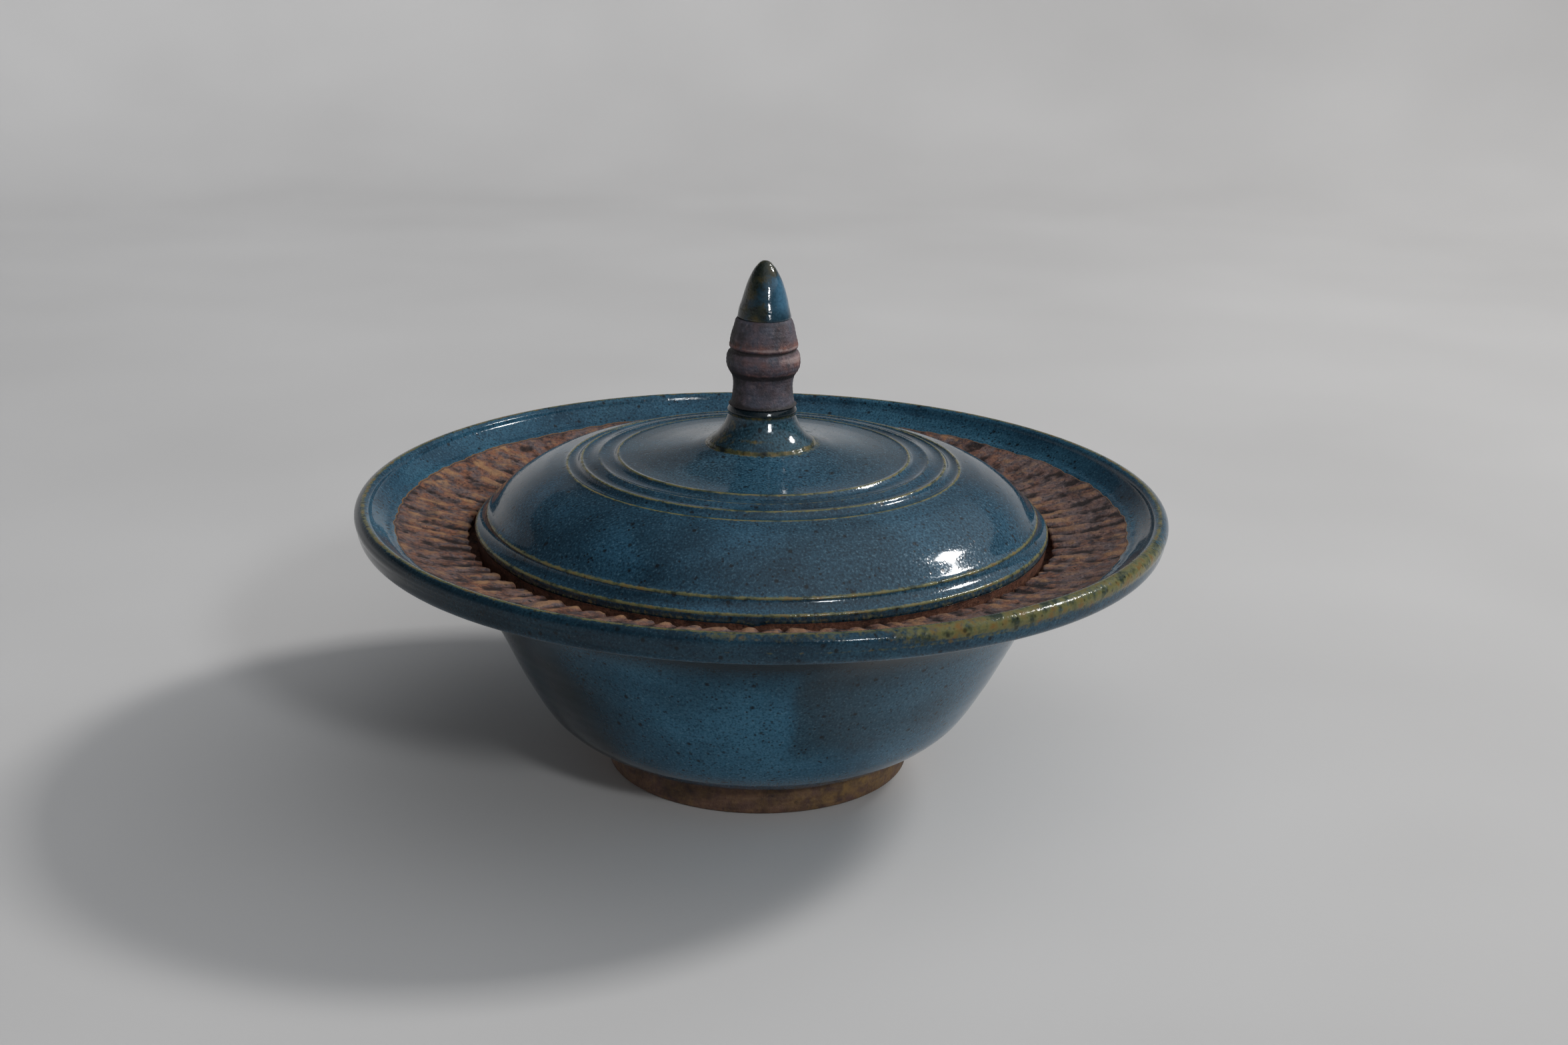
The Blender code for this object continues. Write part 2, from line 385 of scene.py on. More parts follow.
# Clays: dark, middle, warm and pale.
BRIM_CLAY = (srgb(50, 43, 48), srgb(104, 90, 90), srgb(136, 88, 64), srgb(164, 124, 88))
LID_CLAY = (srgb(48, 28, 22), srgb(102, 64, 48), srgb(126, 78, 56), srgb(150, 108, 80))
FOOT_CLAY = (srgb(62, 42, 38), srgb(100, 72, 62), srgb(140, 108, 60), srgb(156, 128, 88))
STEM_CLAY = (srgb(40, 40, 48), srgb(72, 75, 88), srgb(132, 82, 66), srgb(176, 154, 150))


def glaze_color(p, deep, middle, pale, grainy):
    """Mottled glaze with iron specks. Returns the colour, the specks and the matt crystals."""
    milky = p.mark("milky")
    base = p.ramp(p.noise(24, 3, 0.5, 0.4), [(0.20, deep), (0.48, middle), (0.80, pale)])
    base = p.between(p.times(milky, 0.55), base, GREY_GLAZE)
    base = p.between(p.mark("bright"), base, pale)
    grain = p.noise(0.8, 3, 0.65, offset=(7, 3, 1))
    dark = p.ramp(grain, [(0.36, 0.85 * grainy), (0.50, 0.0)])
    base = p.between(dark, base, deep)
    crystals = p.ramp(grain, [(0.54, 0.0), (0.70, 0.34 * grainy)])
    base = p.between(p.times(crystals, milky, crystals), base, MILK)
    # Fine specks lie where the glaze is thick, and large ones everywhere.
    thick = p.ramp(p.noise(6, 2, offset=(5, 5, 5)), [(0.40, 0.0), (0.60, 1.0)])
    thick = p.most(thick, p.times(milky, 0.8))
    specks = p.most(p.times(p.spots(1.9, 0.42, (11, 4, 8)), thick), p.spots(6.0, 0.75, (2, 6, 3)))
    base = p.between(p.times(specks, 0.85 * grainy), base, IRON)
    # Thick glaze and painted shade, where a piece sets them, go nearly black.
    base = p.between(p.times(p.mark("pooled_glaze_and_shade"), 0.92), base, POOLED_AND_SHADE)
    return base, specks, crystals


def clay_color(p, dark, middle, warm, pale, grainy):
    """Bare fired clay: purple-grey, with rusty patches where the mark "warm" is 1."""
    base = p.ramp(p.noise(11, 3, 0.6, offset=(8, 2, 2)), [(0.34, dark), (0.52, middle)])
    soft = 0.08 + 0.14 * (1 - grainy)
    rusty = p.ramp(p.noise(4.5, 4, 0.62, 0.6), [(0.50 - soft, 0.0), (0.50 + soft, 1.0)])
    base = p.between(p.times(rusty, p.times(p.mark("warm"), 0.75, 0.2)), base, warm)
    grain = p.noise(1.3, 3, 0.7, offset=(4, 1, 9))
    base = p.between(p.ramp(grain, [(0.34, 0.7 * grainy), (0.52, 0.0)]), base, dark)
    base = p.between(p.ramp(grain, [(0.56, 0.0), (0.72, 0.5 * grainy)]), base, pale)
    specks = p.most(p.spots(2.4, 0.36, (6, 2, 5)), p.spots(6.5, 0.65, (3, 9, 1)))
    base = p.between(p.times(specks, 0.8 * grainy), base, IRON)
    # The relief painted into the colour: a painted highlight on the crests and painted shade in the valleys.
    cut = p.mark("cut")
    crest = p.times(p.ramp(cut, [(0.62, 0.0), (0.95, 0.9)]), p.times(p.mark("warm"), 0.7, 0.25))
    base = p.between(crest, base, pale)
    return p.between(p.ramp(cut, [(0.05, 0.9), (0.40, 0.0)]), base, CLAY_SHADE)


def broken(p, mark, size, amount):
    """The mark with its edges broken up by noise of this size."""
    return p.times(p.math("SUBTRACT", p.noise(size, 3), 0.5), amount, mark)


def stoneware(name, glaze, clay, thinned=THIN, grainy=1.0, mirror=0.5):
    """Glaze that thins to olive where the mark "olive" is 1, and bare clay where the mark "bare" is 1.

    Less grainy has fainter specks and softer patches, and mirror is how much the glaze reflects.
    """
    p = Paint(name)
    p.shader.inputs["Specular IOR Level"].default_value = mirror
    olive_mark, fringe = p.mark("olive"), p.mark("fringe")

    wet, specks, crystals = glaze_color(p, *glaze, grainy)
    olive = p.ramp(p.noise(4, 3, offset=(1, 8, 2)), list(zip((0.34, 0.50, 0.70), thinned)))
    thin = p.times(p.ramp(broken(p, olive_mark, 1.5, 1.0), [(0.30, 0.0), (0.70, 1.0)]), 0.9)
    wet = p.between(thin, wet, olive)
    wet = p.between(p.times(p.times(specks, thin), 0.8), wet, IRON)

    # From glaze to clay: a golden line on the edge, then a dark one on the clay.
    dry = clay_color(p, *clay, grainy)
    ragged = broken(p, p.mark("bare"), 2.2, 0.5)
    edge = p.ramp(ragged, [(0.46, 0.0), (0.54, 1.0)])
    scorched = p.ramp(ragged, [(0.52, 0.0), (0.60, 1.0), (0.78, 1.0), (0.96, 0.0)])
    dry = p.between(p.times(p.times(scorched, fringe), 0.75), dry, clay[0])
    golden = p.ramp(ragged, [(0.36, 0.0), (0.46, 1.0), (0.54, 1.0), (0.66, 0.0)])
    color = p.between(edge, wet, dry)
    color = p.between(p.times(p.times(golden, fringe), 0.8), color, GOLD)

    glaze_roughness = p.times(crystals, 0.75, p.times(specks, 0.10, 0.08))
    clay_roughness = p.times(p.noise(3, 2), 0.25, 0.48)
    peel = p.bump(p.noise(6.0, 1), 0.012)
    pits = p.bump(specks, -0.02, peel)
    sparkle = p.bump(p.times(p.noise(0.9, 2), olive_mark), 0.16, pits)
    grain = p.bump(p.times(p.noise(0.9, 4, 0.7), edge), 0.45, sparkle)
    return p.finish(color, p.between(edge, glaze_roughness, clay_roughness), grain)


# --- pieces -------------------------------------------------------------------------------------------------


def settle(grid, name, material, body, node):
    """Builds the piece with every mark and its material, hangs it on its body and hides the CAD node it
    stands for.
    """
    for label, value in MARKS.items():
        if label not in grid.marks:
            grid.mark(label, value)
    piece = grid.build(name)
    piece.data.materials.append(material)
    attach(piece, body)
    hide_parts(node)


def make_brim():
    """A rolled glazed lip round a band of bare clay with tool marks, whose inner edge is chipped."""
    lip_start, lip_crest, lip_end = 140, 90, -30  # degrees
    lip = arc((BRIM_RADIUS - LIP_ROLL, LIP_HEIGHT), LIP_ROLL, lip_start, lip_end)
    edge = [(BRIM_RADIUS - 0.6, 90.5), (BRIM_RADIUS - 1.2, 88.4), (BRIM_RADIUS - 2.2, 87.0), (136.6, 86.2)]
    underside = [(134, 85.3), (126, 82.2), (118, 80.2), (SHOULDER_RADIUS, SHOULDER_HEIGHT)]
    bottom = [underside[-1], (108, SHOULDER_HEIGHT - 0.2), (SEAT_RADIUS, SHOULDER_HEIGHT)]
    wall = [bottom[-1], (102.3, 80.5), (MOUTH_RADIUS, MOUTH_HEIGHT - 0.7)]
    turn = [wall[-1], (MOUTH_RADIUS + 0.15, MOUTH_HEIGHT - 0.25), (MOUTH_RADIUS + 0.7, MOUTH_HEIGHT)]
    band = [turn[-1], (110, 84.4), (119, 86.4), (BAND_RADIUS + 2, 89.7)]
    dish = [band[-1], (131, 91.0), (134.6, 93.8), lip[0]]
    legs = [(lip, 0.7), ([lip[-1], *edge], 0.8), ([edge[-1], *underside], 1.8), (bottom, 3.0)]
    legs += [(wall, 0.6), (turn, 0.3), (band, 0.55), (dish, 0.8)]
    grid = Grid(legs, COLUMNS["brim"], closed=True)
    r, z, u = grid.r, grid.z, grid.u
    faces_up = grid.out[1] > 0.3
    top = faces_up * (r < BAND_RADIUS + 6)
    out = np.clip((r - MOUTH_RADIUS) / (BAND_RADIUS - MOUTH_RADIUS), 0, 1)

    # Tool marks: slanting lumps with sharp valleys, deepest at the inner edge, each of its own height.
    wander = 0.30 * field(u, r, 30, 30, 11, 2) + 0.20 * field(u, r, 150, 7, 28)
    tooth = (TEETH * (u + 0.004 * out) + wander) % 1.0
    lump = np.sin(math.pi * tooth**1.45)
    fine = (3 * TEETH * (u + 0.009 * out) + 0.8 * field(u, r, 120, 9, 12)) % 1.0
    ridge = np.sin(math.pi * fine)
    speckle = field(u, r, 400, 1.6, 14, 2)
    streak = field(u, r, 240, 9, 19, 2)
    uneven = 1 + 0.6 * field(u, r, TEETH, 16, 13)
    inside = 1 - rise(r, BAND_RADIUS - 4, BAND_RADIUS + 0.5)
    deep = (1 - out) ** 2.0
    scale = field(u + 0.002 * out, r, 2 * TEETH, 4.5, 29)
    worn = 1 - 0.6 * span(u, 0.75, 0.81, 0.92, 0.99)
    relief = (0.18 + 0.85 * deep * worn) * uneven * (lump - 0.45)
    relief = relief + 0.14 * (ridge - 0.6) + 0.16 * speckle + 0.10 * streak + 0.16 * scale
    relief = relief + 0.55 * deep * towards(u, FRONT, 0.22)
    grid.push(top * inside * relief)

    # The chipped inner edge.
    near = np.exp(-np.maximum(r - MOUTH_RADIUS, 0) / 1.6) * rise(z, SHOULDER_HEIGHT + 1.6, MOUTH_HEIGHT)
    chips = np.maximum(field(u, z, 200, 5, 15, 3), 0)
    grid.r = grid.r - near * (0.5 * (lump - 0.5) * uneven * worn - 0.9 * chips)
    grid.z = grid.z - near * 0.6 * chips

    # The brim is a little warped, low in front and high behind, and its right side reaches further out.
    reach = rise(r, MOUTH_RADIUS, BRIM_RADIUS)
    angle = 2 * math.pi * u
    grid.z = grid.z + reach * (0.1 + 0.9 * np.sin(angle) + 0.12 * ripple(u, 9, 16))
    grid.r = grid.r + reach * 0.4 * np.cos(angle)
    # A thick line where the glaze ends.
    border = BAND_RADIUS + 0.5 * ripple(u, TEETH, 17) + 0.5 * (lump - 0.6)
    grid.push(top * 0.22 * line_at(r, border + 1.3, 1.0))

    # Bare clay, on the band and inside the mouth.
    wide = 0.7 + 0.5 * towards(u, 0.45, 0.3)
    bare = 1 - rise(r, border - wide, border + wide)
    grid.mark("bare", np.where(faces_up, bare, (r < SEAT_RADIUS + 0.5) * (z < MOUTH_HEIGHT + 1)))
    # The mark cut follows the tool marks, for painted shade in their valleys and a painted highlight on their
    # crests.
    cut = 0.52 + (0.34 + 0.60 * deep) * (lump - 0.62) * uneven
    cut = cut + 0.20 * (ridge - 0.6) + 0.20 * speckle + 0.14 * streak + 0.40 * scale
    cut = cut + 0.22 * towards(u, FRONT, 0.16)
    grid.mark("cut", np.clip(np.where(top, cut, MARKS["cut"]), 0, 1))
    grid.mark("warm", np.clip(0.40 + 0.40 * towards(u, 0.46, 0.36) + 0.35 * field(u, r, 40, 9, 25, 2), 0, 1))
    grid.mark("fringe", top * (0.65 + 0.35 * towards(u, 0.40, 0.3)))

    # The lip's glaze: darker on the outer face, most on the left, as painted shade, except at the front
    # right, where it breaks olive instead.
    along = grid.s - LIP_ROLL * math.radians(lip_start - lip_crest)  # millimetres out from the lip's crest
    outer_face = span(along, -0.5, 1.5, 9, 13) * (r > 134)
    shaded = 0.48 + 0.50 * towards(u, 0.56, 0.24)
    grid.mark("pooled_glaze_and_shade", outer_face * shaded * (1 - 0.65 * span(u, 0.76, 0.84, 0.98, 1.0)))
    grid.mark("bright", 0.4 * towards(u, 0.16, 0.13) * top)
    crest = 0.85 * line_at(along, 0, 0.9)
    low = line_at(z, 90.8, 0.4) * (r > 138) * (along > 0) * (0.28 + 0.4 * towards(u, 0.82, 0.12))
    mottle = 0.75 + 0.5 * field(u, z, 26, 6, 18, 2)
    sweep = span(u, 0.77, 0.83, 0.92, 0.985) * span(along, -2.5, 0, 5.0, 7.5) * (0.6 + 0.4 * mottle)
    patches = 0.75 * rise(mottle, 0.75, 1.05) * line_at(along, 1.2, 2.8)
    patches = patches * (0.12 + 0.88 * span(u, 0.75, 0.79, 0.88, 0.96))
    front = 0.8 * towards(u, 0.765, 0.055) * span(along, -1.5, 0, 2, 5) * mottle
    grid.mark("olive", np.clip(np.maximum.reduce([crest, low, sweep, front, patches]), 0, 1))

    look = stoneware("brim_stoneware", BRIM_BLUE, BRIM_CLAY, mirror=0.25)
    settle(grid, "brim_stoneware", look, "bowl", "brim")


def make_bowl():
    """The bowl inside and out, with the bare seat for the lid and a thick line of glaze above the foot."""
    inside = [(0, 15.5), (34, 15.9), (53, 17.4), (66, 22), (76, 33.2), (83, 46.4), (88.6, 60), (91.3, 72)]
    inside = [*inside, (91.4, 75.6)]
    ledge = [inside[-1], (91.7, 76.3), (92.5, SEAT_HEIGHT)]
    seat = [ledge[-1], (97, SEAT_HEIGHT), (SEAT_RADIUS - 0.4, SEAT_HEIGHT), (SEAT_RADIUS, SEAT_HEIGHT + 0.4)]
    rim = [seat[-1], (SEAT_RADIUS, SHOULDER_HEIGHT), (107, SHOULDER_HEIGHT + 0.15)]
    rim = [*rim, (SHOULDER_RADIUS, SHOULDER_HEIGHT + 0.1)]
    wall = [rim[-1], (106, 74), (98.4, 65), (91.2, 51), (83.3, 35.2), (74.2, 20.8), (63.5, 12.3)]
    wall = [*wall, (58.2, 10.6), (55.2, 9.95)]
    lap = [wall[-1], (54.3, 9.6), (53.1, FOOT_HEIGHT)]
    under = [lap[-1], (40, FOOT_HEIGHT + 0.3), (0, FOOT_HEIGHT + 0.3)]
    legs = [(inside, 2.2), (ledge, 0.5), (seat, 1.5), (rim, 1.5), (wall, 0.95), (lap, 0.4), (under, 4)]
    grid = Grid(legs, COLUMNS["bowl"])
    r, z, u, s = grid.r, grid.z, grid.u, grid.s
    widest = s[np.argmax(r[:, 0]), 0]
    outer = (s >= widest) * (r > 54) * (z > 9)
    inner = s < 140

    # Throwing rings and a slow unevenness of the wall.
    rings = 0.012 * np.sin(2 * math.pi * z / 5.1 + 0.8 * ripple(u, 5, 21)) + 0.06 * field(u, z, 8, 14, 22, 2)
    grid.push(np.where(r > 20, rings, 0) * (outer + 0.6 * inner))
    # The thick line of glaze.
    grid.push(outer * 0.45 * line_at(z, 10.75 + 0.2 * ripple(u, 24, 23, 2), 0.5))
    # Low down, the wall stands a little to the left.
    grid.r = grid.r - outer * 0.7 * (1 - rise(z, 10, 75)) * np.cos(2 * math.pi * u)

    # Bare clay below the thick line and on the seat, with olive beside both.
    limit = 10.2 + 0.2 * ripple(u, 30, 24, 2)
    on_seat = (z > 76.2) * (r < SEAT_RADIUS + 0.3)
    grid.mark("bare", np.maximum(outer * (1 - rise(z, limit - 0.2, limit + 0.3)), on_seat))
    by_foot, by_seat = outer * 0.5 * line_at(z, 10.8, 0.7), 0.8 * line_at(z, 75.9, 0.5) * (r < 93)
    grid.mark("olive", np.maximum(by_foot, by_seat))
    grid.mark("warm", 0.4)

    # A patch at the front right has more of the milky speckle. Its left side is rather sharp, with brighter
    # glaze beside it, and dark at the top. Painted shade darkens the wall under the brim and on the left.
    patch = outer * span(u, 0.768, 0.777, 0.84, 0.92) * rise(z, 22, 40)
    grid.mark("milky", 0.8 * patch)
    beside = 1 - rise(u, 0.765, 0.774)
    grid.mark("bright", outer * 0.48 * towards(u, 0.740, 0.085) * beside * line_at(z, 44, 24))
    under_brim = (1.05 * rise(z, 62, 75) + 0.3 * rise(z, 56, 66)) * (0.8 - 0.3 * towards(u, 0.9, 0.1))
    corner = 0.65 * towards(u, 0.780, 0.035) * line_at(z, 56, 9) * (1 - beside)
    left = span(u, 0.34, 0.46, 0.62, 0.71)
    beyond = (0.12 + 0.42 * towards(u, 0.785, 0.055)) * patch
    dark = np.maximum.reduce([under_brim, corner, left, beyond])
    cloudy = 0.22 * field(u, z, 16, 22, 25, 3) * (dark > 0.02)
    grid.mark("pooled_glaze_and_shade", outer * np.clip(dark + cloudy, 0, 1))

    look = stoneware("bowl_glaze", WALL_BLUE, LID_CLAY, mirror=0.3)
    settle(grid, "bowl_glazed", look, "bowl", "bowl_body")


def make_foot():
    """The bare foot ring."""
    inner = FOOT_RADIUS - 9.8
    side = [(FOOT_RADIUS - 0.5, FOOT_HEIGHT + 0.5), (FOOT_RADIUS - 0.4, FOOT_HEIGHT - 1), (FOOT_RADIUS, 4.0)]
    tread = [side[-1], *arc((FOOT_RADIUS - 1.9, TABLE + 1.7), 1.7, 0, -90)]
    flat = [tread[-1], (49, TABLE), (inner + 3, TABLE), (inner + 1.2, TABLE + 1), (inner + 0.6, TABLE + 3)]
    up = [flat[-1], (inner, FOOT_HEIGHT), (inner + 1, FOOT_HEIGHT + 0.4), side[0]]
    grid = Grid([(side, 0.45), (tread, 0.4), (flat, 0.8), (up, 1.5)], COLUMNS["foot"], closed=True)
    u, z = grid.u, grid.z
    outer = (grid.r > FOOT_RADIUS - 6) * rise(z, TABLE + 0.2, TABLE + 1.5)
    lines = 0.06 * np.sin(2 * math.pi * z / 1.7 + ripple(u, 6, 31)) + 0.16 * field(u, z, 20, 4, 32, 3)
    grid.push(outer * lines)
    grid.r = grid.r + outer * 0.3 * np.cos(2 * math.pi * u)
    grid.mark("bare", 1.0)
    # The clay is darker on the left: painted shade.
    grid.mark("cut", 0.5 - 0.12 * towards(u, 0.6, 0.12) + 0.14 * field(u, z, 40, 1.2, 33, 2))
    grid.mark("warm", 0.25 + 0.75 * towards(u, 0.88, 0.13))
    look = stoneware("foot_clay", BLUE, FOOT_CLAY, grainy=0.5)
    settle(grid, "foot_stoneware", look, "bowl", "foot_ring")


def make_lid():
    """The domed lid, with rings round its crown, a ridge above its upright edge and a hollow underside."""
    crown = [(0, CROWN_HEIGHT), (17, CROWN_HEIGHT), (21, 114.4), (27, 113), (37, 111.5), (44, 110.85)]
    # Each ring is a ridge with a step down outside it, and a shallow groove between it and the next.
    rings = [
        crown[-1], (49.0, 110.75), (50.4, 111.0), (51.1, 110.5), (51.9, 109.85), (53.6, 109.6),
        (55.6, 109.65), (56.9, 109.9), (58.1, 109.6), (60.0, 109.1), (61.8, 109.05), (62.9, 109.35),
        (63.6, 108.9), (64.4, 107.95), (65.6, 107.45), (67.0, 107.45), (67.9, 107.7), (69.0, 107.3),
    ]
    dome = [rings[-1], (72, 106.5), (76, 105.3), (82.5, 102.2), (89, 97.8), (94, 92.7), (95.2, 91.5)]
    ridge = [dome[-1], (95.6, 91.1), (95.9, 90.4), (96.5, 89.4), (97.5, 88.4), (98.6, 87.7), (99.1, 87.3)]
    rim = [ridge[-1], (LID_RADIUS, 86.7), (LID_RADIUS - 0.1, 85), (99.2, 82.5), (98.7, 78.6), (98.2, 77.3)]
    rim = [*rim, (97.2, 76.9)]
    base = [rim[-1], (95.6, 76.9), (94.2, 76.9), (93.5, 77.3), (93.2, 78.2)]
    under = [base[-1], (91.6, 86), (84.4, 94.2), (74, 100.2), (60, 103.8), (34, 106.2), (0, 108.2)]
    legs = [(crown, 1.3), (rings, 0.36), (dome, 0.9), (ridge, 0.35), (rim, 0.5), (base, 0.6), (under, 3)]
    grid = Grid(legs, COLUMNS["lid"])
    r, z, u, s = grid.r, grid.z, grid.u, grid.s
    lowest = np.argmin(np.abs(z[:, 0] - 77.0) + 100 * (r[:, 0] < 96))
    upper = s <= s[lowest, 0]
    side = upper * (r > 97.5)
    disc = 1 - rise(r, 47, 50)  # the crown inside the first ring
    line, lower_line = 91.2, 87.1  # heights of the two raised lines above the upright edge

    # Throwing rings and unevenness, then the two raised lines.
    turned = 0.006 * np.sin(2 * math.pi * s / 4.3) + 0.05 * field(u, r, 7, 24, 42, 2)
    grid.push(upper * (r > 18) * (r < 95) * turned)
    raised = 0.25 * line_at(z, line, 0.45) * (r > 94), 0.2 * line_at(z, lower_line, 0.45) * (r > 97)
    grid.push(upper * raised[0] + upper * raised[1])
    # The thin glaze on the ridges is olive and rough, and catches the light in small points.
    olive = 0 * z
    for radius, strength in LID_RINGS:
        grid.push(upper * 0.07 * strength * line_at(r, radius, 0.6) * field(u, r, 480, 1.5, 46))
        olive = np.maximum(olive, upper * strength * line_at(r, radius, 0.50))
    olive = np.maximum(olive, upper * line_at(z, line - 0.05, 0.42) * (r > 93))
    olive = np.maximum(olive, upper * line_at(z, lower_line - 0.1, 0.42) * (r > 97))
    olive = np.maximum(olive, upper * 0.7 * line_at(r, COLLAR_RADIUS + 0.6, 0.9))

    # Below the lines the glaze runs down the upright edge and stops short of the seat, in a thick bead.
    limit = 84.5 + 0.5 * ripple(u, 22, 43, 2) - 1.0 * towards(u, 0.748, 0.008) + 0.8 * towards(u, 0.5, 0.2)
    grid.push(side * 0.40 * line_at(z, limit + 0.7, 0.7))
    grid.mark("bare", np.maximum(side * (1 - rise(z, limit - 0.4, limit + 0.4)), z < 79))
    grid.mark("olive", np.clip(olive + side * 0.35 * line_at(z, limit + 0.8, 1.2), 0, 1))
    grid.mark("warm", 0.3)
    grid.mark("cut", 0.55 + 0.2 * field(u, z, 200, 2, 44, 2))
    grid.mark("milky", upper * np.maximum(0.55 * towards(u, 0.86, 0.16) * (r > 68), 0.7 * disc))
    # The upright edge below the lower line and the cove above it are darker, and more so on the left as
    # painted shade.
    below_line = side * (1 - rise(z, 85.8, 86.6)) + (r > 95) * line_at(z, 89.2, 1.0) * 0.3
    grid.mark("pooled_glaze_and_shade", upper * below_line * (0.65 + 0.35 * towards(u, 0.55, 0.25)))
    # The dome's front right is paler as painted light, and the crown's front as a painted reflection.
    bright = 0.36 * towards(u, 0.90, 0.14) * (r > 50) + 0.5 * disc * towards(u, 0.79, 0.2)
    grid.mark("bright", upper * bright)

    grid.shift = (0.5, 0.0)
    look = stoneware("lid_glaze", BLUE, LID_CLAY, LID_THIN)
    settle(grid, "lid_glazed", look, "lid", "lid_dome")


def make_collar():
    """The glazed foot of the finial, which flares out onto the crown."""
    top = [(0, COLLAR_HEIGHT), (9.8, COLLAR_HEIGHT), (10.9, COLLAR_HEIGHT - 0.4), (11.5, COLLAR_HEIGHT - 1.2)]
    flare = [top[-1], (11.7, 126.6), (11.55, 125.6), (12.2, 123.4), (13.5, 120.6), (15.6, 118), (17.6, 116.3)]
    flare = [*flare, (18.3, 115.5)]
    base = [flare[-1], (18.5, 114.9), (18.2, 114.3), (0, 114.3)]
    grid = Grid([(top, 0.5), (flare, 0.35), (base, 0.6)], COLUMNS["collar"])
    r, z, u = grid.r, grid.z, grid.u
    skin = r > 9

    # Unevenness, the rounded neck ring and the rough thin glaze at the foot.
    grid.push(skin * (z > 115) * 0.05 * field(u, z, 10, 3, 51, 2))
    grid.push(skin * 0.25 * line_at(z, 126.6, 0.7))
    grid.push((0.22 + 0.12 * field(u, z, 110, 1.1, 52)) * line_at(z, 115.3, 0.7) * (r > 16))

    olive = np.maximum(0.62 * line_at(z, 125.9, 0.7) * skin, line_at(z, 115.2, 0.9) * (r > 15))
    olive = np.maximum(olive, 0.55 * line_at(z, 118.6, 0.8) * (r > 12) * towards(u, 0.72, 0.12))
    grid.mark("olive", np.maximum(olive, (0.10 + 0.38 * towards(u, 0.5, 0.3)) * skin * (z < 124)))
    # The neck ring is thick dark glaze; the flare is darker on the left, as painted shade.
    dark_neck = rise(z, 124.6, 126.4)
    grid.mark("pooled_glaze_and_shade", skin * np.maximum(0.1 + 0.5 * towards(u, 0.5, 0.22), dark_neck))
    # Paler on the right: painted light.
    grid.mark("bright", 0.8 * towards(u, 0.89, 0.13) * (z < 124))

    grid.shift = (-0.3, 0.0)
    look = stoneware("collar_glaze", COLLAR_BLUE, LID_CLAY, COLLAR_THIN, mirror=0.4)
    settle(grid, "collar_glazed", look, "lid", "finial_collar")


def make_stem():
    """The bare stem: a bulb, a groove, a bead and a waist."""
    bulb = [(0, STEM_HEIGHT + 0.3), (8.4, STEM_HEIGHT + 0.2), (9.2, STEM_HEIGHT), (9.8, 157.8), (10.9, 153.8)]
    bulb = [*bulb, (11.8, 149.8)]
    groove = [bulb[-1], (11.8, 149.0), (11.25, 148.3), (11.3, 147.7), (12.0, 147.0)]
    bead = [groove[-1], (12.5, 145.9), (12.75, 143.8), (12.5, 142.1), (11.7, 140.4), (10.8, 139.0)]
    foot = COLLAR_HEIGHT - 0.3
    waist = [bead[-1], (10.35, 136.8), (10.3, 134.4), (10.45, 131.9), (10.9, 129.3), (10.9, foot), (0, foot)]
    grid = Grid([(bulb, 0.4), (groove, 0.25), (bead, 0.35), (waist, 0.45)], COLUMNS["stem"])
    r, z, u = grid.r, grid.z, grid.u
    lines = 0.05 * np.sin(2 * math.pi * z / 1.3 + field(u, z, 6, 9, 61)) + 0.10 * field(u, z, 14, 3, 62, 3)
    grid.push((r > 9) * lines)

    # Painted shade in the seams and on the left side, a pale rim, a painted highlight on the bead's right,
    # and rust beside them.
    seam = np.maximum.reduce([line_at(z, 148.0, 0.6), line_at(z, 128.6, 1.1), 0.85 * line_at(z, 139.6, 1.1)])
    shaded = 0.38 * towards(u, 0.55, 0.20)
    thrown = 0.10 * field(u, z, 6, 0.9, 64) + 0.10 * field(u, z, 60, 1.5, 63, 2)
    rim = 0.8 * line_at(z, 149.5, 0.6) + 1.2 * line_at(z, 145.8, 1.3) * towards(u, 0.92, 0.2)
    smudge = line_at(z, 136.8, 1.0) * towards(u, 0.69, 0.05)
    grid.mark("cut", np.clip(0.50 + thrown - 0.6 * seam - shaded + 0.4 * rim + 0.6 * smudge, 0, 1))
    rusty = line_at(z, 150.0, 1.5) + 0.8 * line_at(z, 144.5, 2.4) * (0.3 + 0.7 * towards(u, 0.9, 0.3))
    grid.mark("warm", np.clip(rusty + 0.7 * line_at(z, 140.6, 0.8), 0, 1))
    grid.mark("bare", 1.0)

    grid.shift = (-0.15, 0.0)
    look = stoneware("stem_clay", BLUE, STEM_CLAY, grainy=0.45)
    settle(grid, "stem_stoneware", look, "lid", "finial_stem")


